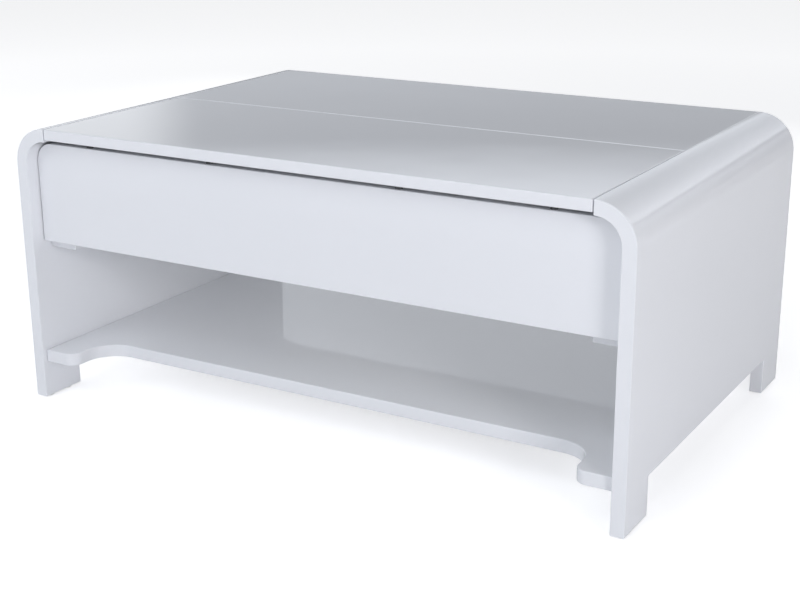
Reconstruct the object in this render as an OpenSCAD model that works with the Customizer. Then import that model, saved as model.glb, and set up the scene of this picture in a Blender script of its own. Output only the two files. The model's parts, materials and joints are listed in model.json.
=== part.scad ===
// Lift top coffee table: two bent end panels carry the aprons, the storage floor and the lower
// shelf. The front half of the top rises forwards on a spring-assisted parallelogram linkage.
// +X is to the right, +Y to the back and +Z up. The origin is on the floor, under the middle.

/* [Table] */
// Overall length, along X
table_l = 900; // [800:10:1200]
// Overall depth, along Y
table_d = 588; // [540:10:700]
// Overall height with the top closed
table_h = 393; // [380:1:460]

/* [Boards] */
// Thickness of the bent end panels
side_t = 18; // [16:1:22]
// Thickness of the lid and the fixed rear top
top_t = 15; // [12:1:18]
// Thickness of the aprons and the seam rail
apron_t = 15; // [12:1:18]
// Thickness of the lower shelf
shelf_t = 18; // [16:1:22]
// Thickness of the storage floor
floor_t = 12; // [9:1:15]

/* [End panels] */
// Outer radius of the bent shoulder
shoulder_r = 51; // [40:1:60]
// Width of each foot, along Y
foot_w = 71; // [50:1:110]
// Height of the square cut-out between the feet
arch_h = 53; // [30:1:60]
// Flat stretch between the shoulder's bend and the top's end
shoulder_flat = 1; // [1:1:10]

/* [Top] */
// Depth of the lifting lid, along Y
lid_d = 285; // [275:1:300]
// Gap round the lid
lid_gap = 1.5; // [0.6:0.1:2]

/* [Aprons and storage] */
// Set-back of the aprons from the front and the back
apron_set = 20; // [10:1:30]
// Height of the aprons' lower edge
apron_z = 230; // [215:1:240]
// Gap between the front apron's upper edge and the lid
apron_gap = 9; // [7:0.5:12]
// Radius of the aprons' upper corners
apron_r = 26; // [20:1:33]
// Width of the cleats under the storage floor
cleat_w = 44; // [36:1:50]
// Height of the cleats
cleat_h = 16; // [14:1:20]
// Length of the bevel under each end of a cleat, which thins it where it shows
cleat_bevel = 36; // [30:1:40]

/* [Lower shelf] */
// Height of the shelf's upper face
shelf_z = 72; // [72:1:90]
// Set-back of the shelf's middle from the front
recess = 78; // [60:1:100]
// Set-back of the shelf's ends from the front and of its back edge
shelf_set = 7; // [5:1:15]
// Width of the ends that reach forwards
tab_w = 51; // [45:1:70]
// Radius of the outward corners of those ends
tab_r = 17; // [10:1:20]
// Radius of the inward sweep to the recess
sweep_r = 43; // [30:1:50]

/* [Lift linkage] */
// Distance of the lower pivots behind the table's front
pivot_back = 95; // [92:1:110]
// Drop of the lower pivots below the lid's underside
pivot_drop = 57; // [54:1:60]
// Length of the arms between their pivots
arm_l = 172; // [150:2:180]
// Slope of the arms when closed, upwards to the back
arm_rest = 5; // [3:1:8]
// Angle that the arms swing through
swing = 105; // [90:1:105]
// Distance between the two pivots on each bracket
pivot_gap = 45; // [42:1:48]
// Slope of the line from the lower pivot to the upper one
pivot_lean = 147; // [144:1:150]
// Radius of the pivot pins
pin_r = 4; // [3.5:0.5:4]
// Radial clearance of the arms on their pins
pin_play = 0.05; // [0.02:0.01:0.1]
// Wire diameter of the torsion springs
wire_d = 3; // [2.5:0.1:3]

/* [Hidden] */
$fn = 48;

WHITE = [0.9, 0.91, 0.93];
BOARD_EDGE = [0.8, 0.8, 0.8];
STEEL = [0.6, 0.62, 0.65];
DARK_STEEL = [0.25, 0.26, 0.28];
PLASTIC = [0.75, 0.76, 0.78];
RUBBER = [0.1, 0.1, 0.11];
TIMBER = [0.8, 0.66, 0.45];

SIDES = [-1, 1];
ENDS = [-1, 1];
arc_steps = 24; // facets in the round end of a pressed steel bar
over = 1; // how far a cutter runs past a face
slip = 0.3; // gap round boards that only lie against each other
hole_play = 0.05; // radial clearance of screws, bolts and dowels

// End panels
half_l = table_l / 2;
half_d = table_d / 2;
side_in = half_l - side_t;
bend_x = half_l - shoulder_r;
bend_z = table_h - shoulder_r;
top_end_x = bend_x - shoulder_flat;
glide_h = 2.5;
glide_r = 7;
glide_chamfer = 1;
nail_r = 1.2;
nail_l = 12;
glide_inset = [15, 50];

// Top
top_z = table_h - top_t;
seam_y = lid_d - half_d;

// Aprons, rail and storage floor
apron_y = half_d - apron_set - apron_t / 2;
apron_in = apron_y - apron_t / 2;
apron_top = top_z - apron_gap;
apron_x = side_in - 1;
rail_h = 60;
rail_y = seam_y + lid_gap + apron_t / 2;
step_x = top_end_x - 2;
floor_z = apron_z + floor_t;
cleat_x = side_in - cleat_w;
cleat_tip = cleat_h - 4; // height left at the ends of a cleat

// Lower shelf
shelf_mid_z = shelf_z - shelf_t / 2;
shelf_x = side_in - slip;

// Flat-pack joints: [y, z, turn about X that faces the cam's mouth to the hidden side]
cam_r = 7.5;
cam_t = 12;
cam_in = 34;
cam_seat = 2; // distance from the cam's axis to the end of its bolt
cam_slot = [7, 1.4, 3];
bolt_r = 3;
bolt_in_side = 10;
rail_cam_z = apron_top - 34;
apron_cam_z = [apron_z + 32, apron_top - 42];
shelf_cam_y = [-150, 150];
CAMS = concat(
    [for (e = ENDS, z = apron_cam_z) [e * apron_y, z, -e * 90]],
    [[rail_y, rail_cam_z, 90]],
    [for (y = shelf_cam_y) [y, shelf_mid_z, 0]]);
dowel_r = 4;
dowel_in_side = 10;
dowel_l = 25;
shelf_dowel_y = [-210, 0, 210];
rear_top_dowel_y = [40, 150, 260];
rear_top_dowel_z = table_h - top_t / 2;
DOWELS = concat(
    [for (e = ENDS) [e * apron_y, (apron_cam_z[0] + apron_cam_z[1]) / 2]],
    [for (y = shelf_dowel_y) [y, shelf_mid_z]]);

// Screws
screw_r = 2;
head_r = 4;
head_t = 2.5;
cleat_screw_y = [-200, 0, 200];
cleat_screw_z = apron_z - cleat_h / 2;
cleat_screw_in = 12;
cleat_screw_sink = 6; // depth of the counterbore under each head
floor_screw_y = [70, 170];
floor_screw_x = side_in - cleat_w / 2;
floor_screw_l = 24;

// Lid bumpers, on the front apron
bumper_r = 4.5;
bumper_x = [-340, -140, 140, 340];
bumper_gap = 0.4;
bumper_dome = 1.5;

// Linkage, in the YZ plane: the arms are parallel and equally long, so the lid stays level
main_pivot = [pivot_back - half_d, top_z - pivot_drop];
function polar(r, a) = [r * cos(a), r * sin(a)];
control_pivot = main_pivot + polar(pivot_gap, pivot_lean);
main_top = main_pivot + polar(arm_l, arm_rest);
control_top = control_pivot + polar(arm_l, arm_rest);

// Linkage, layers along X on the right: outer bracket, washer, arm, washer, lid bracket
plate_t = 2.5;
arm_t = 3;
layer_gap = 1.5;
washer_t = 1.1;
base_x = cleat_x - 2;
arm_x = base_x - layer_gap - arm_t;
top_x = arm_x - layer_gap - plate_t;
main_w = 10;
control_w = 8;
hub_r = 13;
washer_r = 8;
rivet_r = 7;
rivet_t = 2;
heel_l = 30;
peg_r = 4;
peg_tail_r = 3;
peg_lug_r = 8;
peg_lug_lean = 6;
peg_play = 0.5;

// Base bracket
base_l = 100;
base_y = [main_pivot[0] - base_l / 2, main_pivot[0] + base_l / 2];
flange_w = 40;
base_foot_h = 22;
screw_from_end = 15;
base_screw_y = [base_y[0] + screw_from_end, main_pivot[0], base_y[1] - screw_from_end];
base_screw_l = 20;

// Lid bracket
top_bar_from = [65, 5]; // set-back of its ends from the table's front and from the seam
top_bar_y = [top_bar_from[0] - half_d, seam_y - top_bar_from[1]];
top_flange_w = 35;
top_web_h = 15;
top_lug_r = 12;
top_screw_y = [for (d = [screw_from_end, 80], e = ENDS) top_bar_y[(e + 1) / 2] - e * d];
top_screw_x = top_x - 16;
top_screw_l = 12;
top_flange_t = 2;

// Cross tube that keeps the two sides level
tube_r = 8;
tube_wall = 1.5;
tube_at = 60;
tube_centre = main_pivot + polar(tube_at, arm_rest);
tube_screw_l = 16;
tube_screw_r = 3;
tube_screw_head_r = 6;
tube_screw_head_t = 2.5;

// Torsion spring round the main base pin, and the peg that stops the arm and holds the spring
wire_r = wire_d / 2;
leg_r = wire_r - 0.05;
coil_r = main_w + wire_r + 0.2;
coil_pitch = wire_d - 0.1;
fixed_turns = 4;
leg_x = arm_x - 1 - wire_r;
coil_x = leg_x - wire_d - 0.4;
bush_r = coil_r - wire_r - 1.2;
last_coil_x = coil_x - (fixed_turns - 1) * coil_pitch;
pin_end_x = last_coil_x - wire_r - 2;
hook_at = 40;
peg_lead = asin((main_w + peg_r + peg_play) / heel_l);
peg_a = 180 + arm_rest + swing + peg_lead;
peg_centre = main_pivot + polar(heel_l, peg_a);
anchor_a = peg_a + acos((coil_r - peg_r - wire_r) / heel_l);
anchor_l = heel_l + 6;

// Mirrors its children to the left when s is -1
module on_side(s) {
    mirror([s < 0 ? 1 : 0, 0, 0]) children();
}

// Extrudes an outline drawn in YZ from x, along +X
module in_yz(x, t) {
    translate([x, 0, 0]) rotate([90, 0, 90]) linear_extrude(t) children();
}

// Extrudes an outline drawn in XZ about the plane at y
module in_xz(y, t) {
    translate([0, y + t / 2, 0]) rotate([90, 0, 0]) linear_extrude(t) children();
}

// Cylinder along +X from x, at p in YZ
module rod_x(x, p, r, l) {
    translate([x, p[0], p[1]]) rotate([0, 90, 0]) cylinder(r = r, h = l);
}

function half_round(c, r, a) = [for (i = [0:arc_steps]) c + polar(r, a + i * 180 / arc_steps)];

// Outline of a straight bar with round ends, from p to q
module bar(p, q, r) {
    d = q - p;
    a = atan2(d[1], d[0]);
    polygon(concat(half_round(q, r, a - 90), half_round(p, r, a + 90)));
}

// Board outline in XZ with rounded upper corners
module rounded_top(x, z0, z1, r) {
    translate([-x, z0]) square([2 * x, z1 - r - z0]);
    translate([r - x, z0]) square([2 * (x - r), z1 - z0]);
    for (s = SIDES) translate([s * (x - r), z1 - r]) circle(r);
}

// Places a joint's local frame at an end panel: +X into the panel, the board along -X
module at_joint(s, x, y, z, turn = 0) {
    on_side(s) translate([x, y, z]) rotate([turn, 0, 0]) children();
}

module each_cam() {
    for (s = SIDES, c = CAMS) at_joint(s, side_in, c[0], c[1], c[2]) children();
}

module each_dowel() {
    for (s = SIDES, d = DOWELS) at_joint(s, side_in, d[0], d[1]) children();
    for (s = SIDES, y = rear_top_dowel_y) at_joint(s, top_end_x, y, rear_top_dowel_z) children();
}

module cam_bolt_shape(play = 0) {
    rod_x(cam_seat - cam_in, [0, 0], bolt_r + play, cam_in - cam_seat + bolt_in_side + play);
}

module dowel_shape(play = 0) {
    rod_x(dowel_in_side - dowel_l - play, [0, 0], dowel_r + play, dowel_l + 2 * play);
}

module cam_pocket() {
    translate([-cam_in, 0, -shelf_t / 2 - over]) cylinder(r = cam_r + hole_play,
        h = shelf_t / 2 + over + cam_t / 2 + hole_play);
}

module joint_holes() {
    each_cam() cam_bolt_shape(hole_play);
    each_cam() cam_pocket();
    each_dowel() dowel_shape(hole_play);
}

module side_panel_outline() {
    translate([side_in, glide_h]) square([side_t, bend_z - glide_h]);
    translate([top_end_x, table_h - side_t]) square([shoulder_flat, side_t]);
    intersection() {
        translate([bend_x, bend_z]) difference() {
            circle(shoulder_r, $fn = 96);
            circle(shoulder_r - side_t, $fn = 96);
        }
        translate([bend_x, bend_z]) square(shoulder_r);
    }
}

module side_panel(s) {
    color(WHITE) difference() {
        on_side(s) in_xz(0, table_d) side_panel_outline();
        translate([-half_l - over, foot_w - half_d, -over])
            cube([table_l + 2 * over, table_d - 2 * foot_w, arch_h + over]);
        joint_holes();
        cleat_shanks(hole_play);
        glide_nails(hole_play);
    }
}

module front_apron() {
    color(WHITE) difference() {
        in_xz(-apron_y, apron_t) rounded_top(apron_x, apron_z, apron_top, apron_r);
        joint_holes();
    }
}

// Boards under the fixed rear top rise between the end panels to meet it
module raised_board(y, z0) {
    in_xz(y, apron_t) {
        rounded_top(apron_x, z0, apron_top, apron_r);
        translate([-step_x, apron_top - over]) square([2 * step_x, apron_gap + over]);
    }
}

module rear_apron() {
    color(WHITE) difference() {
        raised_board(apron_y, apron_z);
        joint_holes();
    }
}

module seam_rail() {
    color(WHITE) difference() {
        raised_board(rail_y, apron_top - rail_h);
        joint_holes();
    }
}

module storage_floor() {
    color(WHITE) difference() {
        translate([slip - side_in, slip - apron_in, apron_z])
            cube([2 * (side_in - slip), 2 * (apron_in - slip), floor_t]);
        base_screw_set(hole_play);
        floor_screw_set(hole_play);
    }
}

module cleat_outline() {
    end = apron_in - slip;
    flat_end = end - cleat_bevel;
    low = apron_z - cleat_h;
    tip_z = apron_z - cleat_tip;
    polygon([[-end, apron_z], [-end, tip_z], [-flat_end, low],
        [flat_end, low], [end, tip_z], [end, apron_z]]);
}

module cleat(s) {
    color(BOARD_EDGE) difference() {
        on_side(s) in_yz(cleat_x, cleat_w) cleat_outline();
        base_screw_set(hole_play);
        floor_screw_set(hole_play);
        cleat_shanks(hole_play);
        cleat_counterbores();
    }
}

// One front end of the shelf: rounded outward corner, then the sweep in to the recess.
// Drawn with u across from the end panel and v back from the table's front.
module shelf_tab() {
    translate([0, shelf_set]) square([tab_w - tab_r, recess - shelf_set + over]);
    translate([0, shelf_set + tab_r]) square([tab_w, recess - shelf_set - tab_r + over]);
    translate([tab_w - tab_r, shelf_set + tab_r]) circle(tab_r);
    difference() {
        translate([tab_w - over, recess - sweep_r]) square([sweep_r + over, sweep_r + over]);
        translate([tab_w + sweep_r, recess - sweep_r]) circle(sweep_r, $fn = 96);
    }
}

module lower_shelf() {
    color(WHITE) difference() {
        translate([0, 0, shelf_z - shelf_t]) linear_extrude(shelf_t) {
            translate([-shelf_x, recess - half_d])
                square([2 * shelf_x, table_d - recess - shelf_set]);
            for (s = SIDES) on_side(s) translate([shelf_x, -half_d]) mirror([1, 0, 0]) shelf_tab();
        }
        joint_holes();
    }
}

module rear_top() {
    color(WHITE) difference() {
        translate([slip - top_end_x, seam_y + lid_gap, top_z])
            cube([2 * (top_end_x - slip), table_d - lid_d - lid_gap, top_t]);
        joint_holes();
    }
}

module lid() {
    color(WHITE) difference() {
        translate([lid_gap - top_end_x, -half_d, top_z])
            cube([2 * (top_end_x - lid_gap), lid_d, top_t]);
        top_screw_set(hole_play);
    }
}

module each_glide() {
    for (s = SIDES, e = ENDS, i = glide_inset)
        translate([s * (half_l - side_t / 2), e * (half_d - i), 0]) children();
}

module glide_nails(play = 0) {
    each_glide() cylinder(r = nail_r + play, h = glide_h + nail_l + play);
}

module foot_glides() {
    color(PLASTIC) each_glide() {
        cylinder(r1 = glide_r - glide_chamfer, r2 = glide_r, h = glide_chamfer);
        translate([0, 0, glide_chamfer]) cylinder(r = glide_r, h = glide_h - glide_chamfer);
    }
    color(STEEL) glide_nails();
}

module lid_bumpers() {
    straight_h = apron_gap - bumper_gap - bumper_dome;
    color(RUBBER) for (x = bumper_x) translate([x, -apron_y, apron_top]) {
        cylinder(r = bumper_r, h = straight_h);
        translate([0, 0, straight_h])
            cylinder(r1 = bumper_r, r2 = bumper_r - bumper_dome, h = bumper_dome);
    }
}

module cam_locks() {
    color(STEEL) each_cam() difference() {
        translate([-cam_in, 0, -cam_t / 2]) cylinder(r = cam_r, h = cam_t);
        rod_x(-cam_in, [0, 0], bolt_r + 2 * hole_play, cam_in);
        for (a = [0, 90]) translate([-cam_in, 0, -cam_t / 2]) rotate([0, 0, a])
            cube(cam_slot, center = true);
    }
}

module cam_bolts() {
    color(STEEL) each_cam() cam_bolt_shape();
}

module dowels() {
    color(TIMBER) each_dowel() dowel_shape();
}

// Shanks of the screws that hold the cleats to the end panels, or their holes
module cleat_shanks(play = 0) {
    l = cleat_w - cleat_screw_sink + cleat_screw_in;
    for (s = SIDES, y = cleat_screw_y) on_side(s)
        rod_x(cleat_x + cleat_screw_sink - play, [y, cleat_screw_z], screw_r + play, l + 2 * play);
}

module cleat_counterbores() {
    for (s = SIDES, y = cleat_screw_y) on_side(s)
        rod_x(cleat_x - over, [y, cleat_screw_z], head_r + hole_play, cleat_screw_sink + over);
}

module cleat_screws() {
    color(STEEL) {
        cleat_shanks();
        for (s = SIDES, y = cleat_screw_y) on_side(s)
            rod_x(cleat_x + cleat_screw_sink - head_t, [y, cleat_screw_z], head_r, head_t);
    }
}

module floor_screw_set(play = 0) {
    for (s = SIDES, y = floor_screw_y) translate([s * floor_screw_x, y, floor_z]) {
        translate([0, 0, -floor_screw_l - play])
            cylinder(r = screw_r + play, h = floor_screw_l + play);
        translate([0, 0, -head_t - play]) cylinder(r = head_r + play, h = head_t + 2 * play);
    }
}

module floor_screws() {
    color(STEEL) floor_screw_set();
}

module base_screw_set(play = 0) {
    for (s = SIDES, y = base_screw_y)
        translate([s * floor_screw_x, y, floor_z + plate_t]) {
            translate([0, 0, -base_screw_l - play])
                cylinder(r = screw_r + play, h = base_screw_l + play);
            cylinder(r = head_r, h = head_t);
        }
}

module base_bracket_screws() {
    color(STEEL) base_screw_set();
}

module base_bracket(s) {
    foot_z = floor_z + base_foot_h;
    color(DARK_STEEL) difference() {
        on_side(s) {
            translate([base_x, base_y[0], floor_z])
                cube([flange_w, base_y[1] - base_y[0], plate_t]);
            translate([base_x, base_y[0], floor_z])
                cube([plate_t, base_y[1] - base_y[0], base_foot_h]);
            in_yz(base_x, plate_t) {
                bar(main_pivot, control_pivot, hub_r);
                bar(main_pivot, [main_pivot[0], foot_z], hub_r);
                bar(control_pivot, [base_y[0] + hub_r, foot_z], hub_r);
                translate([base_y[0] + hub_r, foot_z - over])
                    square([main_pivot[0] - base_y[0] - hub_r, main_pivot[1] - foot_z]);
                bar(peg_centre, [peg_centre[0] - peg_lug_lean, foot_z], peg_lug_r);
            }
        }
        on_side(s) for (p = [main_pivot, control_pivot])
            rod_x(base_x - over, p, pin_r + hole_play, plate_t + 2 * over);
        on_side(s) rod_x(base_x - over, peg_centre, peg_tail_r + hole_play, plate_t + 2 * over);
        base_screw_set(hole_play);
    }
}

module main_arm(s) {
    heel = main_pivot - polar(heel_l, arm_rest);
    color(STEEL) on_side(s) difference() {
        in_yz(arm_x, arm_t) bar(heel, main_top, main_w);
        for (p = [main_pivot, main_top])
            rod_x(arm_x - over, p, pin_r + pin_play, arm_t + 2 * over);
        rod_x(arm_x - over, tube_centre, tube_screw_r + hole_play, arm_t + 2 * over);
    }
}

module control_arm(s) {
    color(STEEL) on_side(s) difference() {
        in_yz(arm_x, arm_t) bar(control_pivot, control_top, control_w);
        rod_x(arm_x - over, control_pivot, pin_r + pin_play, arm_t + 2 * over);
        rod_x(arm_x - over, control_top, pin_r + 2 * pin_play, arm_t + 2 * over);
    }
}

module tube_screws(play = 0) {
    for (s = SIDES) on_side(s) {
        rod_x(arm_x + arm_t - tube_screw_l, tube_centre, tube_screw_r + play, tube_screw_l);
        rod_x(arm_x + arm_t, tube_centre, tube_screw_head_r, tube_screw_head_t);
    }
}

module sync_tube_screws() {
    color(STEEL) tube_screws();
}

// Tube with a solid plug at each end for its screw
module sync_tube() {
    plug_l = 20;
    color(DARK_STEEL) difference() {
        rod_x(-arm_x, tube_centre, tube_r, 2 * arm_x);
        rod_x(plug_l - arm_x, tube_centre, tube_r - tube_wall, 2 * (arm_x - plug_l));
        tube_screws(hole_play);
    }
}

module top_bracket(s) {
    bar_l = top_bar_y[1] - top_bar_y[0];
    color(DARK_STEEL) difference() {
        on_side(s) {
            translate([top_x + plate_t - top_flange_w, top_bar_y[0], top_z - top_flange_t])
                cube([top_flange_w, bar_l, top_flange_t]);
            translate([top_x, top_bar_y[0], top_z - top_web_h])
                cube([plate_t, bar_l, top_web_h]);
            in_yz(top_x, plate_t) {
                bar(main_top, control_top, top_lug_r);
                translate([main_top[0] - top_lug_r, main_top[1]])
                    square([2 * top_lug_r, top_z - main_top[1] - over]);
            }
        }
        on_side(s) for (p = [main_top, control_top])
            rod_x(top_x - over, p, pin_r + hole_play, plate_t + 2 * over);
        top_screw_set(hole_play);
    }
}

module top_screw_set(play = 0) {
    for (s = SIDES, y = top_screw_y) translate([s * top_screw_x, y, top_z - top_flange_t]) {
        cylinder(r = screw_r + play, h = top_flange_t + top_screw_l + play);
        translate([0, 0, -head_t]) cylinder(r = head_r, h = head_t);
    }
}

module top_bracket_screws() {
    color(STEEL) top_screw_set();
}

// Rivet along X through a bracket and an arm, with a head at each end
module rivet(x0, x1, p) {
    rod_x(x0, p, pin_r, x1 - x0);
    rod_x(x0 - rivet_t, p, rivet_r, rivet_t);
    rod_x(x1, p, rivet_r, rivet_t);
}

module base_pins() {
    color(STEEL) for (s = SIDES) on_side(s) {
        rivet(pin_end_x, base_x + plate_t, main_pivot);
        rivet(arm_x - slip, base_x + plate_t, control_pivot);
    }
}

module top_pins() {
    color(STEEL) for (s = SIDES, p = [main_top, control_top]) on_side(s)
        rivet(top_x, arm_x + arm_t + slip, p);
}

module washer_ring(x, p) {
    difference() {
        rod_x(x, p, washer_r, washer_t);
        rod_x(x - over, p, pin_r + hole_play, washer_t + 2 * over);
    }
}

module base_washers() {
    color(PLASTIC) for (s = SIDES, p = [main_pivot, control_pivot]) on_side(s)
        washer_ring(base_x - washer_t, p);
}

module top_washers() {
    color(PLASTIC) for (s = SIDES, p = [main_top, control_top]) on_side(s)
        washer_ring(top_x + plate_t, p);
}

module stop_pegs() {
    color(STEEL) for (s = SIDES) on_side(s) {
        rod_x(pin_end_x, peg_centre, peg_r, base_x - pin_end_x);
        rod_x(base_x, peg_centre, peg_tail_r, plate_t);
    }
}

module spring_bushes() {
    color(PLASTIC) for (s = SIDES) on_side(s) difference() {
        rod_x(pin_end_x, main_pivot, bush_r, arm_x - slip - pin_end_x);
        rod_x(pin_end_x - over, main_pivot, pin_r + hole_play, arm_x - pin_end_x + over);
    }
}

// One turn of the spring about the main base pin
module coil_ring(x) {
    translate([x, main_pivot[0], main_pivot[1]]) rotate([0, 90, 0])
        rotate_extrude() translate([coil_r, 0]) circle(wire_r, $fn = 24);
}

// Straight leg that leaves the coil at angle a, square to the radius there
module spring_leg_bar(x, a, turn, l) {
    start = main_pivot + polar(coil_r, a);
    translate([x, start[0], start[1]]) rotate([a + turn, 0, 0]) rotate([-90, 0, 0])
        cylinder(r = leg_r, h = l);
}

module torsion_spring(s) {
    color(DARK_STEEL) on_side(s) {
        for (i = [0:fixed_turns - 1]) coil_ring(coil_x - i * coil_pitch);
        spring_leg_bar(last_coil_x, anchor_a, -90, anchor_l);
    }
}

module spring_leg(s) {
    hook = main_pivot + polar(coil_r, arm_rest - 90) + polar(hook_at, arm_rest);
    color(DARK_STEEL) on_side(s) {
        coil_ring(leg_x);
        spring_leg_bar(leg_x, arm_rest - 90, 90, hook_at);
        rod_x(leg_x, hook, leg_r, arm_x + arm_t - leg_x);
        translate([leg_x, hook[0], hook[1]]) sphere(wire_r + 0.1);
    }
}

side_panel(-1);  // side_panel_left
side_panel(1);  // side_panel_right
front_apron();
rear_apron();
seam_rail();
storage_floor();
cleat(-1);  // cleat_left
cleat(1);  // cleat_right
lower_shelf();
rear_top();
lid();
foot_glides();
lid_bumpers();
cam_locks();
cam_bolts();
dowels();
cleat_screws();
floor_screws();
base_bracket(-1);  // base_bracket_left
base_bracket(1);  // base_bracket_right
base_bracket_screws();
main_arm(-1);  // main_arm_left
main_arm(1);  // main_arm_right
control_arm(-1);  // control_arm_left
control_arm(1);  // control_arm_right
sync_tube();
sync_tube_screws();
top_bracket(-1);  // top_bracket_left
top_bracket(1);  // top_bracket_right
top_bracket_screws();
base_pins();
top_pins();
base_washers();
top_washers();
stop_pegs();
spring_bushes();
torsion_spring(-1);  // torsion_spring_left
torsion_spring(1);  // torsion_spring_right
spring_leg(-1);  // spring_leg_left
spring_leg(1);  // spring_leg_right
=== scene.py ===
"""Lift top coffee table: finishes, turned hardware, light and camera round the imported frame."""
import json
import math

import bmesh
import bpy
from mathutils import Matrix, Vector


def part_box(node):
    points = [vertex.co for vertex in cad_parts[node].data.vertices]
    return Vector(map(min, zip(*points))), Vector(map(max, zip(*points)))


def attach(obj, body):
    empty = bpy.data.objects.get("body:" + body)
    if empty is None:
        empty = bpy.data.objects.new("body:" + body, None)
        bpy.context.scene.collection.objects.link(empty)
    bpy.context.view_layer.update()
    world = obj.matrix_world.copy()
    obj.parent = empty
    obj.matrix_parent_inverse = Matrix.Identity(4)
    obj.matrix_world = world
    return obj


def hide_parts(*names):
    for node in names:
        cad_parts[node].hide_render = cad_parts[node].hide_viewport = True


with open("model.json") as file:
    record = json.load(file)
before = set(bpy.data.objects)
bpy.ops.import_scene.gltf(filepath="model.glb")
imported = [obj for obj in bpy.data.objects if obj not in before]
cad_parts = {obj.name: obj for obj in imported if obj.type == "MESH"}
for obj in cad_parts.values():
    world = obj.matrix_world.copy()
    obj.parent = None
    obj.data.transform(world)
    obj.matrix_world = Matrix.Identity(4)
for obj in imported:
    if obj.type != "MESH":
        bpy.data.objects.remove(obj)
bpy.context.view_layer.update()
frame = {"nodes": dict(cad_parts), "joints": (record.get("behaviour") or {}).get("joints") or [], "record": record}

NODES = frame["nodes"]
BODIES = frame["record"]["behaviour"]["bodies"]
JOINTS = {joint["name"]: joint for joint in frame["joints"]}
MM = 0.001


# ---------------------------------------------------------------- shader helpers

class Finish:
    """One Principled material, whose methods add nodes and hand back sockets.

    Constants go straight on the shader."""

    def __init__(self, name, **constants):
        self.material = bpy.data.materials.new(name)
        self.material.use_nodes = True
        self.tree = self.material.node_tree
        self.surface = self.tree.nodes["Principled BSDF"]
        for socket, value in constants.items():
            self.surface.inputs[socket.replace("_", " ")].default_value = value
        self.place = self.add("ShaderNodeTexCoord").outputs["Object"]

    def add(self, kind, **settings):
        node = self.tree.nodes.new(kind)
        for name, value in settings.items():
            setattr(node, name, value)
        return node

    def link(self, source, target):
        if hasattr(source, "is_output"):
            self.tree.links.new(source, target)
        else:
            target.default_value = source

    def stretch(self, x, y, z):
        """The object's coordinates, scaled along each axis, for grain and brush marks."""
        mapping = self.add("ShaderNodeMapping")
        mapping.inputs["Scale"].default_value = (x, y, z)
        self.link(self.place, mapping.inputs["Vector"])
        return mapping.outputs["Vector"]

    def noise(self, cell, detail=2.0, where=None, roughness=0.5):
        """Soft noise whose lumps are about one cell across, in metres."""
        node = self.add("ShaderNodeTexNoise")
        node.inputs["Scale"].default_value = 1 / cell
        node.inputs["Detail"].default_value = detail
        node.inputs["Roughness"].default_value = roughness
        self.link(where or self.place, node.inputs["Vector"])
        return node.outputs["Fac"]

    def specks(self, cell, share):
        """Small round dots, 1 inside a dot and 0 outside, that cover about that share of each cell."""
        node = self.add("ShaderNodeTexVoronoi")
        node.inputs["Scale"].default_value = 1 / cell
        self.link(self.place, node.inputs["Vector"])
        return self.ramp(node.outputs["Distance"], (share * 0.7, 1.0), (share, 0.0))

    def edge(self, radius):
        """1 along sharp edges and 0 on flat stretches."""
        rounded = self.add("ShaderNodeBevel", samples=4)
        rounded.inputs["Radius"].default_value = radius
        true = self.add("ShaderNodeNewGeometry").outputs["True Normal"]
        dot = self.add("ShaderNodeVectorMath", operation="DOT_PRODUCT")
        self.link(rounded.outputs["Normal"], dot.inputs[0])
        self.link(true, dot.inputs[1])
        return self.ramp(dot.outputs["Value"], (0.82, 1.0), (0.985, 0.0))

    def ramp(self, factor, *stops):
        node = self.add("ShaderNodeValToRGB")
        elements = node.color_ramp.elements
        while len(elements) < len(stops):
            elements.new(0.5)
        for element, (position, value) in zip(elements, stops):
            element.position = position
            shade = (value,) * 3 if isinstance(value, float) else value
            element.color = (*shade, 1.0)
        self.link(factor, node.inputs["Fac"])
        return node.outputs["Color"]

    def mix(self, factor, first, second, blend="MIX"):
        node = self.add("ShaderNodeMix", data_type="RGBA", blend_type=blend)
        self.link(factor, node.inputs["Factor"])
        for socket, value in (("A", first), ("B", second)):
            target = [i for i in node.inputs if i.name == socket and i.type == "RGBA"][0]
            self.link(value if hasattr(value, "is_output") else (*value, 1.0), target)
        return [o for o in node.outputs if o.type == "RGBA"][0]

    def level(self, factor, low, high):
        """Maps 0..1 to low..high."""
        node = self.add("ShaderNodeMapRange")
        node.inputs["To Min"].default_value = low
        node.inputs["To Max"].default_value = high
        self.link(factor, node.inputs["Value"])
        return node.outputs["Result"]

    def bump(self, height, depth, strength=1.0, below=None):
        node = self.add("ShaderNodeBump")
        node.inputs["Strength"].default_value = strength
        node.inputs["Distance"].default_value = depth
        self.link(height, node.inputs["Height"])
        if below is not None:
            self.link(below, node.inputs["Normal"])
        return node.outputs["Normal"]

    def wear(self, colour=None, roughness=None, normal=None, coat_normal=None):
        """Plugs the finished sockets into the shader."""
        for socket, source in (("Base Color", colour), ("Roughness", roughness),
                               ("Normal", normal), ("Coat Normal", coat_normal)):
            if source is not None:
                self.link(source, self.surface.inputs[socket])
        return self.material


# ---------------------------------------------------------------- materials

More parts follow.
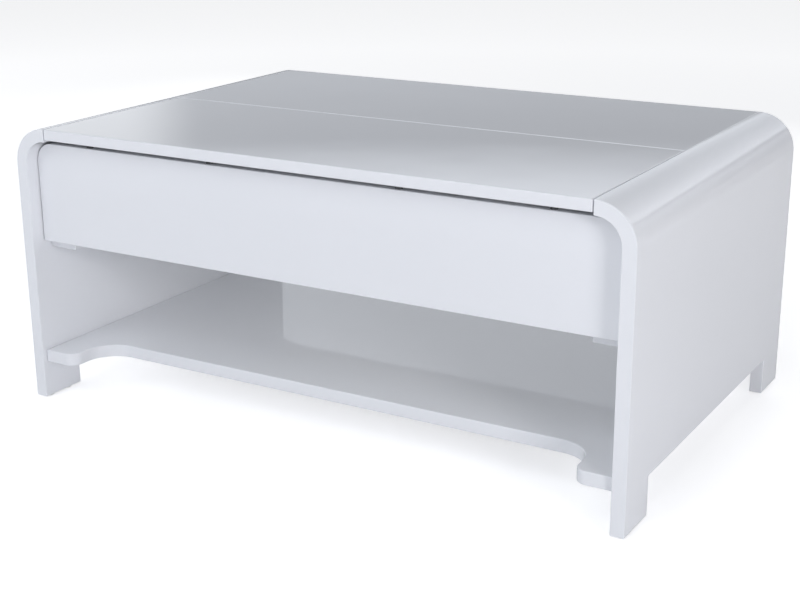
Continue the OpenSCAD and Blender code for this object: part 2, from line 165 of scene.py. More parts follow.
def white_lacquer():
    """Sprayed high-gloss lacquer on board: faint waviness, fine orange peel, thin paint on the arrises."""
    f = Finish("white_lacquer", Coat_Weight=1.0, Coat_Roughness=0.025, Coat_IOR=1.5,
               Specular_IOR_Level=0.3)
    tone = f.mix(f.noise(0.35), (0.868, 0.880, 0.915), (0.880, 0.890, 0.922))
    tone = f.mix(f.level(f.edge(1.4 * MM), 0.0, 0.25), tone, (0.86, 0.86, 0.86))
    tone = f.mix(f.level(f.specks(0.045, 0.008), 0.0, 0.3), tone, (0.55, 0.54, 0.52))
    gloss = f.level(f.noise(0.12, 3.0), 0.28, 0.36)
    waves = f.bump(f.noise(0.09, 1.0), 0.12 * MM)
    peel = f.bump(f.noise(2.2 * MM, 1.0), 0.004 * MM, below=waves)
    return f.wear(tone, gloss, peel, peel)


def melamine_board():
    """Matt white melamine with a fine pressed pearl and a trace of dust."""
    f = Finish("melamine_board", Specular_IOR_Level=0.45)
    tone = f.mix(f.noise(0.05, 3.0), (0.72, 0.72, 0.70), (0.78, 0.78, 0.765))
    tone = f.mix(f.level(f.specks(0.012, 0.04), 0.0, 0.25), tone, (0.55, 0.54, 0.51))
    gloss = f.level(f.noise(0.03), 0.42, 0.55)
    pearl = f.bump(f.noise(0.5 * MM, 2.0), 0.03 * MM)
    return f.wear(tone, gloss, pearl)


def white_plastic():
    """Moulded nylon foot glide, satin, scuffed where it slides."""
    f = Finish("white_plastic", Specular_IOR_Level=0.5)
    scuff = f.ramp(f.noise(1.5 * MM, 4.0, f.stretch(1, 5, 1)), (0.45, 0.0), (0.7, 1.0))
    tone = f.mix(scuff, (0.74, 0.74, 0.72), (0.60, 0.59, 0.57))
    return f.wear(tone, f.level(scuff, 0.38, 0.6), f.bump(scuff, 0.03 * MM))


def soft_bumper():
    """Matt black rubber dot with a fine grain, greyed by dust on its dome."""
    f = Finish("soft_bumper", Specular_IOR_Level=0.35)
    tone = f.mix(f.noise(2 * MM), (0.085, 0.085, 0.088), (0.13, 0.13, 0.133))
    return f.wear(tone, f.level(f.noise(1 * MM), 0.6, 0.75), f.bump(f.noise(0.6 * MM), 0.03 * MM))


def zinc_casting():
    """Die-cast zinc with a grainy skin, brighter on its edges."""
    f = Finish("zinc_casting", Metallic=1.0)
    tone = f.mix(f.noise(1.2 * MM, 4.0), (0.42, 0.43, 0.45), (0.56, 0.57, 0.59))
    tone = f.mix(f.level(f.edge(0.4 * MM), 0.0, 0.7), tone, (0.74, 0.75, 0.77))
    gloss = f.level(f.noise(0.9 * MM, 3.0), 0.36, 0.56)
    return f.wear(tone, gloss, f.bump(f.noise(0.35 * MM, 3.0), 0.03 * MM))


def zinc_plated_steel():
    """Bright zinc plate with faint bluish clouds and turning marks."""
    f = Finish("zinc_plated_steel", Metallic=1.0)
    tone = f.mix(f.noise(3 * MM, 2.0), (0.66, 0.68, 0.72), (0.76, 0.76, 0.75))
    gloss = f.level(f.noise(0.7 * MM, 4.0), 0.2, 0.36)
    return f.wear(tone, gloss, f.bump(f.noise(0.3 * MM, 2.0), 0.01 * MM))


def black_steel():
    """Black textured powder coat on pressed steel, polished through on its edges."""
    f = Finish("black_steel", Specular_IOR_Level=0.5)
    tone = f.mix(f.noise(8 * MM, 3.0), (0.020, 0.021, 0.023), (0.034, 0.035, 0.037))
    tone = f.mix(f.level(f.edge(0.6 * MM), 0.0, 0.5), tone, (0.11, 0.11, 0.115))
    grain = f.bump(f.noise(0.45 * MM, 3.0), 0.05 * MM)
    return f.wear(tone, f.level(f.noise(0.5 * MM, 3.0), 0.38, 0.58), grain)


def grey_steel():
    """Blanked arm of zinc-nickel plated strip: rolling grain along its length, dull edges."""
    f = Finish("grey_steel", Metallic=1.0)
    grain = f.noise(0.5 * MM, 4.0, f.stretch(1, 0.05, 1))
    tone = f.mix(grain, (0.40, 0.41, 0.43), (0.52, 0.53, 0.54))
    tone = f.mix(f.level(f.edge(0.5 * MM), 0.0, 0.8), tone, (0.66, 0.66, 0.66))
    return f.wear(tone, f.level(grain, 0.3, 0.46), f.bump(grain, 0.008 * MM))


def spring_steel():
    """Oil-dark drawn wire with fine draw lines."""
    f = Finish("spring_steel", Metallic=1.0)
    tone = f.mix(f.noise(1.5 * MM, 3.0), (0.16, 0.165, 0.18), (0.27, 0.27, 0.28))
    gloss = f.level(f.noise(0.6 * MM, 3.0), 0.24, 0.4)
    return f.wear(tone, gloss, f.bump(f.noise(0.25 * MM, 2.0), 0.008 * MM))


def nylon():
    """Natural nylon washer, slightly translucent and waxy."""
    f = Finish("nylon", Specular_IOR_Level=0.5, Subsurface_Weight=0.2, Subsurface_Scale=1.5 * MM)
    tone = f.mix(f.noise(2 * MM, 2.0), (0.70, 0.69, 0.64), (0.77, 0.76, 0.71))
    return f.wear(tone, f.level(f.noise(0.8 * MM), 0.35, 0.5), f.bump(f.noise(0.5 * MM), 0.01 * MM))


def beech():
    """Fluted beech dowel: straight grain with short dark flecks."""
    f = Finish("beech", Specular_IOR_Level=0.35)
    grain = f.noise(1.0 * MM, 4.0, f.stretch(0.08, 1, 1))
    flecks = f.ramp(f.noise(0.6 * MM, 2.0, f.stretch(0.2, 1, 1)), (0.62, 0.0), (0.70, 1.0))
    tone = f.mix(grain, (0.52, 0.34, 0.18), (0.68, 0.48, 0.28))
    tone = f.mix(flecks, tone, (0.36, 0.21, 0.11))
    return f.wear(tone, f.level(grain, 0.5, 0.7), f.bump(grain, 0.03 * MM))


FINISHES = {make.__name__: make() for make in (
    white_lacquer, melamine_board, white_plastic, soft_bumper, zinc_casting, zinc_plated_steel,
    black_steel, grey_steel, spring_steel, nylon, beech)}


# ---------------------------------------------------------------- CAD nodes that stay

def repaint():
    """Every CAD node gets the procedural finish of the slot that the record names for it."""
    for node in NODES.values():
        for slot in node.material_slots:
            slot.material = FINISHES[slot.material.name.split(".")[0]]


SHARP_ANGLE = math.radians(35)


def arris_marker(shortest):
    """Geometry nodes that mark sharp edges for the bevel, all but the short ones round holes."""
    tree = bpy.data.node_groups.new("arris_marker", "GeometryNodeTree")
    for flow in ("INPUT", "OUTPUT"):
        tree.interface.new_socket("Geometry", in_out=flow, socket_type="NodeSocketGeometry")
    ends = tree.nodes.new("GeometryNodeInputMeshEdgeVertices")
    length = tree.nodes.new("ShaderNodeVectorMath")
    length.operation = "DISTANCE"
    angle = tree.nodes.new("GeometryNodeInputMeshEdgeAngle")
    store = tree.nodes.new("GeometryNodeStoreNamedAttribute")
    store.domain = "EDGE"
    store.inputs["Name"].default_value = "bevel_weight_edge"
    for end in (0, 1):
        tree.links.new(ends.outputs["Position %d" % (end + 1)], length.inputs[end])
    marked = tree.nodes.new("ShaderNodeMath")
    marked.operation = "MULTIPLY"
    for index, (measure, least) in enumerate((
            (length.outputs["Value"], shortest), (angle.outputs["Unsigned Angle"], SHARP_ANGLE))):
        more = tree.nodes.new("ShaderNodeMath")
        more.operation = "GREATER_THAN"
        more.inputs[1].default_value = least
        tree.links.new(measure, more.inputs[0])
        tree.links.new(more.outputs["Value"], marked.inputs[index])
    value = [socket for socket in store.inputs if socket.name == "Value" and socket.type == "VALUE"][0]
    tree.links.new(marked.outputs["Value"], value)
    tree.links.new(tree.nodes.new("NodeGroupInput").outputs[0], store.inputs["Geometry"])
    tree.links.new(store.outputs["Geometry"], tree.nodes.new("NodeGroupOutput").inputs[0])
    return tree


def soften(name, radius, shortest, segments=3):
    """Rounds a board's or a pressing's outer edges inwards, without touching its own mesh."""
    node = NODES[name]
    weld = node.modifiers.new("weld", "WELD")
    weld.merge_threshold = 0.01 * MM
    flat = node.modifiers.new("flat_faces", "DECIMATE")
    flat.decimate_type = "DISSOLVE"
    flat.angle_limit = math.radians(0.5)
    node.modifiers.new("marks", "NODES").node_group = arris_marker(shortest)
    bevel = node.modifiers.new("arris", "BEVEL")
    bevel.width = radius
    bevel.segments = segments
    bevel.limit_method = "WEIGHT"
    bevel.use_clamp_overlap = False
    bevel.miter_outer = "MITER_ARC"
    shading = node.modifiers.new("shading", "WEIGHTED_NORMAL")
    shading.keep_sharp = False


# In mm: radius of each node's edges, and the length below which an edge belongs to a hole
ARRIS = {
    "side_panel_left": (0.95, 0.8), "side_panel_right": (0.95, 0.8), "front_apron": (1.2, 1.2),
    "rear_apron": (1.2, 1.2), "seam_rail": (1.0, 1.2), "lid": (1.5, 1.2), "rear_top": (1.5, 1.2),
    "lower_shelf": (1.4, 1.2), "storage_floor": (0.4, 1.2),
    "cleat_left": (0.6, 1.2), "cleat_right": (0.6, 1.2),
    "base_bracket_left": (0.3, 0.8), "base_bracket_right": (0.3, 0.8),
    "top_bracket_left": (0.3, 1.2), "top_bracket_right": (0.3, 1.2),
    "main_arm_left": (0.4, 0.8), "main_arm_right": (0.4, 0.8),
    "control_arm_left": (0.4, 0.8), "control_arm_right": (0.4, 0.8)}


# ---------------------------------------------------------------- turned and bent hardware

BODY_OF = {node: body for body, members in BODIES.items() for node in members}
PIVOT = Vector(JOINTS["lid_lift"]["pos_m"])
ARM = (Vector(JOINTS["lid_level"]["pos_m"]) - PIVOT).normalized()
SIDES = (("left", -1), ("right", 1))


def solids(name):
    """The box of each separate solid in a CAD node, as (lowest corner, highest corner)."""
    shape = bmesh.new()
    shape.from_mesh(NODES[name].data)
    bmesh.ops.remove_doubles(shape, verts=shape.verts, dist=0.001 * MM)
    unseen, boxes = set(shape.verts), []
    while unseen:
        front, reached = [unseen.pop()], []
        while front:
            vertex = front.pop()
            reached.append(vertex.co)
            fresh = {edge.other_vert(vertex) for edge in vertex.link_edges} & unseen
            unseen -= fresh
            front.extend(fresh)
        boxes.append(tuple(Vector(pick(point[axis] for point in reached) for axis in range(3))
                           for pick in (min, max)))
    shape.free()
    return sorted(boxes, key=lambda box: [round(value, 5) for value in box[0]])


def add_piece(name, shape, stands_for, material, smooth_below=40):
    """Makes a piece from a bmesh; it replaces a CAD node, rides on its body and takes its slot."""
    bmesh.ops.recalc_face_normals(shape, faces=shape.faces)
    mesh = bpy.data.meshes.new(name)
    shape.to_mesh(mesh)
    shape.free()
    mesh.shade_smooth()
    mesh.set_sharp_from_angle(angle=math.radians(smooth_below))
    mesh.materials.append(FINISHES[material])
    piece = bpy.data.objects.new(name, mesh)
    bpy.context.scene.collection.objects.link(piece)
    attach(piece, BODY_OF[stands_for])
    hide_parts(stands_for)
    return piece


def stand(shape, fresh, origin, axis):
    """Turns vertices drawn about +Z so that +Z becomes the axis, and moves them to the origin."""
    turn = Vector(axis).to_track_quat("Z", "X").to_matrix().to_4x4()
    bmesh.ops.transform(shape, matrix=Matrix.Translation(origin) @ turn, verts=fresh)


def turned(shape, rings, sides=32):
    """A closed solid of revolution about Z with flat ends.

    Each ring is (height, radius), and a radius may be a function of the angle."""
    loops = []
    for height, radius in rings:
        angles = [2 * math.pi * i / sides for i in range(sides)]
        radii = [radius(a) if callable(radius) else radius for a in angles]
        loops.append([shape.verts.new((r * math.cos(a), r * math.sin(a), height))
                      for r, a in zip(radii, angles)])
    for low, high in zip(loops, loops[1:]):
        for i in range(sides):
            shape.faces.new((low[i - 1], low[i], high[i], high[i - 1]))
    shape.faces.new(loops[0])
    shape.faces.new(loops[-1])
    return [vertex for loop in loops for vertex in loop]


def turned_ring(shape, section, sides=48):
    """A ring about Z with a closed section of (radius, height) points."""
    loops = [[shape.verts.new((r * math.cos(a), r * math.sin(a), height)) for r, height in section]
             for a in (2 * math.pi * i / sides for i in range(sides))]
    for this, following in zip(loops, loops[1:] + loops[:1]):
        for k in range(len(section)):
            shape.faces.new((this[k - 1], this[k], following[k], following[k - 1]))
    return [vertex for loop in loops for vertex in loop]


def dome(radius, height, edge, steps=6):
    """(height, radius) rings of a low domed head from its rim up, over a short straight edge."""
    rings = [(0.0, radius * 0.96), (edge * 0.3, radius), (edge, radius)]
    for i in range(1, steps + 1):
        a = math.pi / 2 * i / steps
        rings.append((edge + (height - edge) * math.sin(a), max(radius * math.cos(a), radius * 0.12)))
    return rings


def thread(top, bottom, core, crest, pitch, tip):
    """Rings of a screw's thread from its top down to a tapered tip."""
    def ring(z):
        taper = min(1.0, (z - bottom) / tip) if tip else 1.0

        def radius(angle):
            phase = (z / pitch + angle / (2 * math.pi)) % 1.0
            ridge = max(0.0, 1 - abs(phase - 0.5) * 3.2)
            return max(0.15 * MM, (core + (crest - core) * ridge) * (0.2 + 0.8 * taper))
        return radius
    steps = max(2, round((top - bottom) / (pitch / 6)))
    heights = [top - (top - bottom) * i / steps for i in range(steps + 1)]
    return [(z, ring(z)) for z in reversed(heights)]


def cross_cutter(reach, width, depth):
    """A cross-shaped, tapered punch that stands on z = 0 and points down."""
    cutter = bmesh.new()
    for turn in (0, math.pi / 2):
        corners = [(u * reach * k, v * width * w, -depth * (1 - t) + 1 * MM * t)
                   for t, k, w in ((0, 0.35, 0.7), (1, 1.15, 1.05)) for u in (-1, 1) for v in (-1, 1)]
        fresh = [cutter.verts.new(Matrix.Rotation(turn, 3, "Z") @ Vector(c)) for c in corners]
        bmesh.ops.convex_hull(cutter, input=fresh)
    return cutter


def hex_cutter(reach, depth):
    """A hexagonal punch that stands on z = 0 and points down."""
    cutter = bmesh.new()
    turned(cutter, [(-depth, reach), (1 * MM, reach)], sides=6)
    return cutter


def punched(shape, cutter):
    """Cuts the punch out of the solid and hands back the result."""
    made = []
    for part in (shape, cutter):
        bmesh.ops.recalc_face_normals(part, faces=part.faces)
        mesh = bpy.data.meshes.new("punching")
        part.to_mesh(mesh)
        part.free()
        made.append(bpy.data.objects.new("punching", mesh))
        bpy.context.scene.collection.objects.link(made[-1])
    cut = made[0].modifiers.new("cut", "BOOLEAN")
    cut.operation, cut.solver, cut.object, cut.use_self = "DIFFERENCE", "EXACT", made[1], True
    bpy.context.view_layer.update()
    result = bmesh.new()
    result.from_object(made[0], bpy.context.evaluated_depsgraph_get())
    for part in made:
        bpy.data.objects.remove(part)
    return result


def screw(length, head_r, head_h, shank_r, drive, domed, tip):
    """One screw about Z: its head stands on z = 0 and its thread runs down."""
    shape = bmesh.new()
    crown = dome(head_r, head_h, head_h * (0.25 if domed else 0.8))
    rings = thread(-0.4 * MM, -length, shank_r * 0.72, shank_r, shank_r * 0.7, tip)
    turned(shape, rings + [(-0.2 * MM, shank_r * 0.9), (0.0, shank_r)] + crown)
    cutter = {"cross": lambda: cross_cutter(head_r * 0.56, head_r * 0.13, head_h * 0.72),
              "hex": lambda: hex_cutter(head_r * 0.36, head_h * 0.8)}[drive]()
    bmesh.ops.translate(cutter, verts=cutter.verts, vec=(0, 0, head_h))
    return punched(shape, cutter)


# Node: where its heads point, head height, shank radius, drive, domed or flat head, length of the tip;
# lengths in mm
SCREWS = {
    "base_bracket_screws": ("up", 2.5, 2.0, "cross", True, 4.0),
    "top_bracket_screws": ("down", 2.5, 2.0, "cross", True, 3.0),
    "floor_screws": ("up", 2.5, 2.0, "cross", False, 4.0),
    "cleat_screws": ("inward", 2.5, 2.0, "cross", True, 5.0),
    "sync_tube_screws": ("outward", 2.5, 3.0, "hex", True, 0.0),
}


def add_screws(name, heads, head_h, shank_r, drive, domed, tip):
    """One identical screw at each solid of the node."""
    whole, model = bmesh.new(), None
    for low, high in solids(name):
        middle, size = (low + high) / 2, high - low
        side = math.copysign(1, middle.x)
        axis = {"up": Vector((0, 0, 1)), "down": Vector((0, 0, -1)),
                "inward": Vector((-side, 0, 0)), "outward": Vector((side, 0, 0))}[heads]
        along, head_r = max(size), sorted(size)[1] / 2
        if model is None:
            shape = screw(along - head_h * MM, head_r, head_h * MM, shank_r * MM, drive, domed, tip * MM)
            model = bpy.data.meshes.new("model")
            shape.to_mesh(model)
            shape.free()
        before = set(whole.verts)
        whole.from_mesh(model)
        stand(whole, list(set(whole.verts) - before), middle + axis * (along / 2 - head_h * MM), axis)
    bpy.data.meshes.remove(model)
    return add_piece(name + "_threaded", whole, name, "zinc_plated_steel", 35)


def rivet_rings(length, pin_r, head_r, head_h):
    """Rings of a rivet from its peened tail at z = 0 to its domed head."""
    tail = [(head_h - z, r) for z, r in reversed(dome(head_r * 0.94, head_h * 0.9, head_h * 0.35))]
    body = [(head_h, pin_r), (length - head_h, pin_r)]
    head = [(length - head_h + z, r) for z, r in dome(head_r, head_h, head_h * 0.25)]
    return tail + body + head


def add_rivets(name, head_h=2.0, pin_r=4.0):
    """Domed rivets through the arms, heads outwards and peened tails inwards."""
    shape = bmesh.new()
    for low, high in solids(name):
        middle, size = (low + high) / 2, high - low
        out = math.copysign(1, middle.x)
        fresh = turned(shape, rivet_rings(size.x, pin_r * MM, size.y / 2, head_h * MM), 40)
        stand(shape, fresh, middle - Vector((out * size.x / 2, 0, 0)), (out, 0, 0))
    return add_piece(name + "_peened", shape, name, "zinc_plated_steel", 35)


def add_washers(name, bore=4.05, chamfer=0.2):
    """Flat nylon washers with chamfered edges."""
    shape = bmesh.new()
    for low, high in solids(name):
        middle, size = (low + high) / 2, high - low
        outer, inner, half, cut = size.y / 2, bore * MM, size.x / 2, chamfer * MM
        below = [(inner, -half + cut), (inner + cut, -half), (outer - cut, -half), (outer, -half + cut)]
        section = below + [(r, -level) for r, level in reversed(below)]
        stand(shape, turned_ring(shape, section), middle, (1, 0, 0))
    return add_piece(name + "_turned", shape, name, "nylon", 30)


def add_bushes(name="spring_bushes", bore=4.05, groove=0.5, ribs=4):
    """Nylon bushes with shallow grooves under the turns of the spring."""
    shape = bmesh.new()
    for low, high in solids(name):
        middle, size = (low + high) / 2, high - low
        outer, half, cut = size.y / 2, size.x / 2, groove * MM
        section = [(bore * MM, half), (bore * MM, -half), (outer - cut, -half), (outer, -half + cut)]
        step = (size.x - 2 * cut) / (2 * ribs + 1)
        for i in range(1, 2 * ribs + 1):
            level, depth = -half + cut + i * step, cut if i % 2 else 0.0
            section += [(outer - cut + depth, level - 0.1 * MM), (outer - depth, level + 0.1 * MM)]
        section += [(outer, half - cut), (outer - cut, half)]
        stand(shape, turned_ring(shape, section), middle, (1, 0, 0))
    return add_piece(name + "_ribbed", shape, name, "nylon", 30)


def add_pegs(name="stop_pegs", tail_r=3.0, tail=2.5):
    """Steel pegs with a chamfered, grooved nose and a peened tail through the bracket."""
    shape = bmesh.new()
    for low, high in solids(name):
        middle, size = (low + high) / 2, high - low
        out = math.copysign(1, middle.x)
        r, cut, end = size.y / 2, 0.6 * MM, size.x - tail * MM
        rings = [(0, r - cut), (cut, r), (1.6 * MM, r), (1.8 * MM, r - 0.4 * MM), (5.6 * MM, r - 0.4 * MM),
                 (5.8 * MM, r), (end, r), (end, tail_r * MM), (size.x - 0.3 * MM, tail_r * MM),
                 (size.x, (tail_r - 0.4) * MM)]
        stand(shape, turned(shape, rings, 40), middle - Vector((out * size.x / 2, 0, 0)), (out, 0, 0))
    return add_piece(name + "_turned", shape, name, "zinc_plated_steel", 30)


def add_bumpers(name="lid_bumpers"):
    """Domed rubber dots on short stems, on the front apron's upper edge."""
    shape = bmesh.new()
    for low, high in solids(name):
        middle, size = (low + high) / 2, high - low
        r, h = size.x / 2, size.z
        rings = [(0, r), (h * 0.1, r), (h * 0.14, r * 0.86), (h * 0.5, r * 0.84), (h * 0.54, r * 0.98)]
        rings += [(h * 0.62, r)] + [(h * (0.62 + 0.38 * math.sin(a)), r * (0.35 + 0.65 * math.cos(a)))
                                    for a in (math.pi / 2 * i / 6 for i in range(1, 7))]
        stand(shape, turned(shape, rings, 32), Vector((middle.x, middle.y, low.z)), (0, 0, 1))
    return add_piece(name + "_domed", shape, name, "soft_bumper", 50)


# ---- springs

def around(angle, radius, x):
    """The point at that angle round the main lower pivot, measured from +Y towards +Z."""
    return Vector((x, PIVOT.y + radius * math.cos(angle), PIVOT.z + radius * math.sin(angle)))


def wire(shape, points, radius, sides=14):
    """A round wire along the points, with slightly rounded cut ends."""
    tangents = [(b - a).normalized() for a, b in zip(points[:1] + points, points[1:] + points[-1:])]
    tangents[0] = (points[1] - points[0]).normalized()
    tangents[-1] = (points[-1] - points[-2]).normalized()
    across = tangents[0].orthogonal().normalized()
    stations = [(points[0], radius * 0.8), (points[0] + tangents[0] * radius * 0.15, radius)]
    stations += [(point, radius) for point in points[1:-1]]
    stations += [(points[-1] - tangents[-1] * radius * 0.15, radius), (points[-1], radius * 0.8)]
    directions = [tangents[0]] + tangents + [tangents[-1]]
    loops = []
    for (point, r), tangent in zip(stations, directions):
        across = (across - tangent * across.dot(tangent)).normalized()
        other = tangent.cross(across)
        loops.append([shape.verts.new(point + (across * math.cos(a) + other * math.sin(a)) * r)
                      for a in (2 * math.pi * i / sides for i in range(sides))])
    for low, high in zip(loops, loops[1:]):
        for i in range(sides):
            shape.faces.new((low[i - 1], low[i], high[i], high[i - 1]))
    shape.faces.new(loops[0])
    shape.faces.new(loops[-1])


CAD_WIRE_R = 1.5 * MM
WIRE_R = 1.45 * MM
TURN_STEPS = 40
COIL_R = PIVOT.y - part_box("spring_leg_left")[0].y - CAD_WIRE_R


def add_spring(side, s):
    """The spring's fixed turns and the leg that bears on the stop peg."""
    node = "torsion_spring_" + side
    low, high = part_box(node)
    near, far = sorted((abs(low.x), abs(high.x)))
    x_first, x_last = near + CAD_WIRE_R, far - CAD_WIRE_R
    peg = next((a + b) / 2 for a, b in solids("stop_pegs") if (a + b).x * s > 0) - PIVOT
    peg_gap = math.hypot(peg.y, peg.z)
    peg_r = next((b.y - a.y) / 2 for a, b in solids("stop_pegs"))
    start = math.atan2(peg.z, peg.y) + math.acos((COIL_R - peg_r - CAD_WIRE_R) / peg_gap)
    tangent = around(start - math.pi / 2, 1.0, 0) - around(0, 0, 0)
    turns = round((x_last - x_first) / (2.9 * MM))
    leg = tangent * (peg_gap + 6 * MM)
    points = [around(start, COIL_R, s * x_first) + leg * k for k in (1.0, 0.66, 0.33)]
    steps = turns * TURN_STEPS
    for i in range(steps + 1):
        x = x_first + (x_last - x_first) * i / steps
        points.append(around(start + 2 * math.pi * turns * i / steps, COIL_R, s * x))
    shape = bmesh.new()
    wire(shape, points, WIRE_R)
    add_piece(node + "_wire", shape, node, "spring_steel", 60)


def add_spring_leg(side, s):
    """The spring's last turn, and the leg that lifts the main arm by its lower edge."""
    node = "spring_leg_" + side
    low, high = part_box(node)
    near, far = sorted((abs(low.x), abs(high.x)))
    x, bend = near + 1.6 * MM, 3 * MM
    slope = math.atan2(ARM.z, ARM.y)
    leave = slope - math.pi / 2
    points = [around(leave - math.radians(352) * (1 - i / TURN_STEPS), COIL_R, s * x)
              for i in range(TURN_STEPS + 1)]
    hook = (high.y - 1.6 * MM - points[-1].y) / ARM.y
    points += [points[-1] + ARM * (hook - bend) * k for k in (0.4, 1.0)]
    corner = points[-1]
    for i in range(1, 7):
        a = math.pi / 2 * i / 6
        points.append(corner + ARM * bend * math.sin(a) + Vector((s, 0, 0)) * bend * (1 - math.cos(a)))
    points.append(Vector((s * far, points[-1].y, points[-1].z)))
    shape = bmesh.new()
    wire(shape, points, WIRE_R)
    add_piece(node + "_wire", shape, node, "spring_steel", 60)


# ---------------------------------------------------------------- floor, light and camera

def add_floor():
    """A wide pale floor that glows more with its distance from the table."""
    mesh = bpy.data.meshes.new("studio_floor")
    shape = bmesh.new()
    bmesh.ops.create_grid(shape, x_segments=1, y_segments=1, size=FLOOR_HALF)
    shape.to_mesh(mesh)
    shape.free()
    floor = bpy.data.objects.new("studio_floor", mesh)
    bpy.context.scene.collection.objects.link(floor)
    f = Finish("studio_floor", Roughness=0.9, Specular_IOR_Level=0.1)
    f.surface.inputs["Base Color"].default_value = (0.86, 0.86, 0.87, 1.0)
    f.surface.inputs["Emission Color"].default_value = (1.0, 1.0, 1.0, 1.0)
    reach = f.add("ShaderNodeVectorMath", operation="LENGTH")
    f.link(f.place, reach.inputs[0])
    glow = f.add("ShaderNodeMapRange")
    for socket, value in zip(("From Min", "From Max", "To Min", "To Max"), FLOOR_REACH + FLOOR_GLOW):
        glow.inputs[socket].default_value = value
    f.link(reach.outputs["Value"], glow.inputs["Value"])
    shown = f.add("ShaderNodeMath", operation="MULTIPLY_ADD")
    f.link(f.add("ShaderNodeLightPath").outputs["Is Camera Ray"], shown.inputs[0])
    shown.inputs[1].default_value = PAPER_GLOW
    f.link(glow.outputs["Result"], shown.inputs[2])
    f.link(shown.outputs["Value"], f.surface.inputs["Emission Strength"])
    mesh.materials.append(f.material)


def add_world():
    """A dome with a bright band low down, and a round pale card behind the table's left corner."""
    world = bpy.data.worlds.new("studio_dome")
    bpy.context.scene.world = world
    world.use_nodes = True
    tree = world.node_tree
    direction = tree.nodes.new("ShaderNodeTexCoord").outputs["Generated"]
    height = tree.nodes.new("ShaderNodeSeparateXYZ")
    dome = tree.nodes.new("ShaderNodeValToRGB")
    tree.links.new(direction, height.inputs[0])
    tree.links.new(height.outputs["Z"], dome.inputs["Fac"])
    elements = dome.color_ramp.elements
    while len(elements) < len(DOME):
        elements.new(0.5)
    for element, (elevation, value) in zip(elements, DOME):
        element.position = math.sin(math.radians(elevation))
        element.color = (value * 0.96, value, value * 1.07, 1.0)
    to_card = tree.nodes.new("ShaderNodeVectorMath")
    to_card.operation = "DOT_PRODUCT"
    to_card.inputs[1].default_value = heading(*CARD_CENTRE)
    tree.links.new(direction, to_card.inputs[0])
    card = tree.nodes.new("ShaderNodeMapRange")
    card.interpolation_type = "SMOOTHSTEP"
    for socket, value in zip(("From Min", "From Max", "To Min", "To Max"), (
            math.cos(math.radians(CARD_EDGE[1])), math.cos(math.radians(CARD_EDGE[0])), 0.0, CARD_GLOW)):
        card.inputs[socket].default_value = value
    tree.links.new(to_card.outputs["Value"], card.inputs["Value"])
    both = tree.nodes.new("ShaderNodeAddShader")
    sky = tree.nodes.new("ShaderNodeBackground")
    tree.links.new(dome.outputs["Color"], sky.inputs["Color"])
    tree.links.new(sky.outputs[0], both.inputs[0])
    patch = tree.nodes.new("ShaderNodeBackground")
    patch.inputs["Color"].default_value = (0.97, 0.985, 1.0, 1.0)
    tree.links.new(card.outputs["Result"], patch.inputs["Strength"])
    tree.links.new(patch.outputs[0], both.inputs[1])
    paper = tree.nodes.new("ShaderNodeBackground")
    paper.inputs["Color"].default_value = (0.93, 0.94, 0.95, 1.0)
    shown = tree.nodes.new("ShaderNodeMixShader")
    tree.links.new(tree.nodes.new("ShaderNodeLightPath").outputs["Is Camera Ray"], shown.inputs[0])
    tree.links.new(both.outputs[0], shown.inputs[1])
    tree.links.new(paper.outputs[0], shown.inputs[2])
    tree.links.new(shown.outputs[0], tree.nodes["World Output"].inputs["Surface"])


def heading(azimuth, elevation):
    """Unit vector towards a point of the studio. Azimuth 0 is in front of the table and 90 to its right."""
    turn, rise = math.radians(azimuth), math.radians(elevation)
    return Vector((math.sin(turn) * math.cos(rise), -math.cos(turn) * math.cos(rise), math.sin(rise)))


def add_light(name, azimuth, elevation, distance, width, height, watts, tint, spread, mirrored):
    """A softbox that faces the table from that heading. A mirrored one shows in the gloss."""
    lamp = bpy.data.lights.new(name, "AREA")
    lamp.shape = "RECTANGLE"
    lamp.size, lamp.size_y = width, height
    lamp.energy = watts
    lamp.color = tint
    lamp.spread = math.radians(spread)
    aim = Vector((0, 0, 0.2))
    away = heading(azimuth, elevation)
    light = bpy.data.objects.new(name, lamp)
    light.location = aim + away * distance
    light.rotation_euler = away.to_track_quat("Z", "Y").to_euler()
    light.visible_camera = False
    light.visible_glossy = mirrored
    bpy.context.scene.collection.objects.link(light)


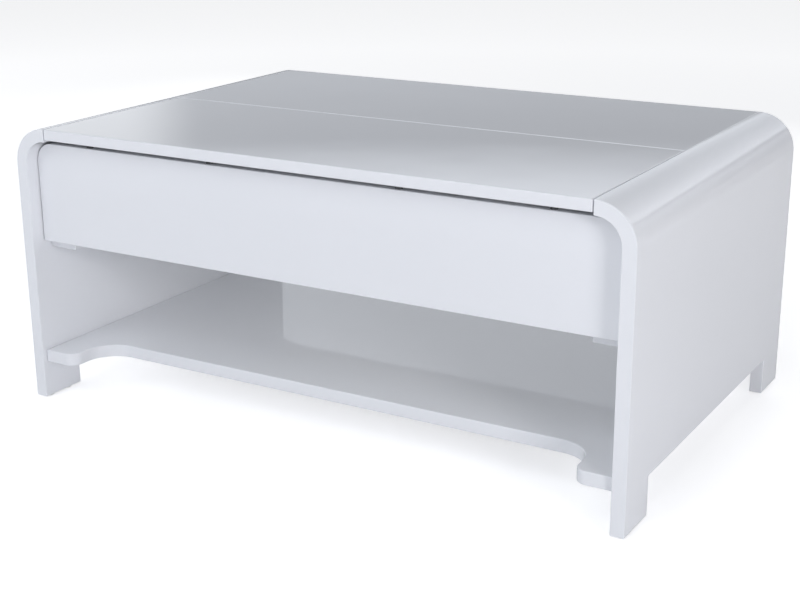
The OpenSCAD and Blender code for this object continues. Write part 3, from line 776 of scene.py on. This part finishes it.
def add_camera():
    """Looks down at the table's right front corner through a short telephoto lens."""
    aim = Vector((0.034, -0.0865, 0.1638))
    distance = 1.95
    roll = math.radians(-0.336)
    forward = -heading(30.60, 17.87)
    level = forward.cross(Vector((0, 0, 1))).normalized()
    right = level * math.cos(roll) + level.cross(forward) * math.sin(roll)
    up = right.cross(forward)
    camera = bpy.data.objects.new("camera", bpy.data.cameras.new("camera"))
    camera.data.sensor_width = 36.0
    camera.data.lens = 64.55
    camera.matrix_world = Matrix((right, up, -forward)).transposed().to_4x4()
    camera.location = aim - forward * distance
    bpy.context.scene.collection.objects.link(camera)
    bpy.context.scene.camera = camera


# Brightness of the dome at each elevation in degrees
DOME = ((0.0, 0.2), (9.0, 0.45), (11.5, 0.15), (14.0, 1.05), (35.0, 0.0), (89.0, 0.0))
# The card: heading, inner and outer edge of its rim in degrees, brightness
CARD_CENTRE = (230, 10)
CARD_EDGE = (8.0, 11.5)
CARD_GLOW = 0.62
FLOOR_HALF = 40.0
# Glow of the floor at the nearest and the farthest of two distances, and what the camera sees on top
FLOOR_REACH = (1.0, 3.5)
FLOOR_GLOW = (0.04, 0.25)
PAPER_GLOW = 0.48
# Name, azimuth, elevation, distance, width, height, watts, tint, spread, seen in the gloss
LIGHTS = (
    ("key_softbox", 58, 13, 3.2, 0.75, 0.75, 28, (1.0, 0.985, 1.0), 180, True),
    ("front_left_fill", -30, 30, 3.2, 1.4, 1.2, 12, (0.92, 0.955, 1.0), 180, True),
    ("front_top", 0, 50, 3.5, 2.4, 1.4, 22, (0.92, 0.955, 1.0), 180, True),
    ("left_fill", -80, 25, 3.5, 2.4, 1.6, 20, (0.96, 0.97, 1.0), 180, True),
    ("overhead", 0, 89, 2.6, 2.4, 2.0, 16, (0.95, 0.965, 1.0), 180, True),
    ("back_low", 180, 5, 2.6, 4.0, 0.5, 9, (1.0, 1.0, 1.0), 60, False),
)

repaint()
for node, (radius, shortest) in ARRIS.items():
    soften(node, radius * MM, shortest * MM)
for screws, shape in SCREWS.items():
    add_screws(screws, *shape)
for rivets in ("base_pins", "top_pins"):
    add_rivets(rivets)
for washers in ("base_washers", "top_washers"):
    add_washers(washers)
add_bushes()
add_pegs()
add_bumpers()
for side, s in SIDES:
    add_spring(side, s)
    add_spring_leg(side, s)
add_floor()
add_world()
for light in LIGHTS:
    add_light(*light)
add_camera()
bpy.context.scene.view_settings.view_transform = "Standard"
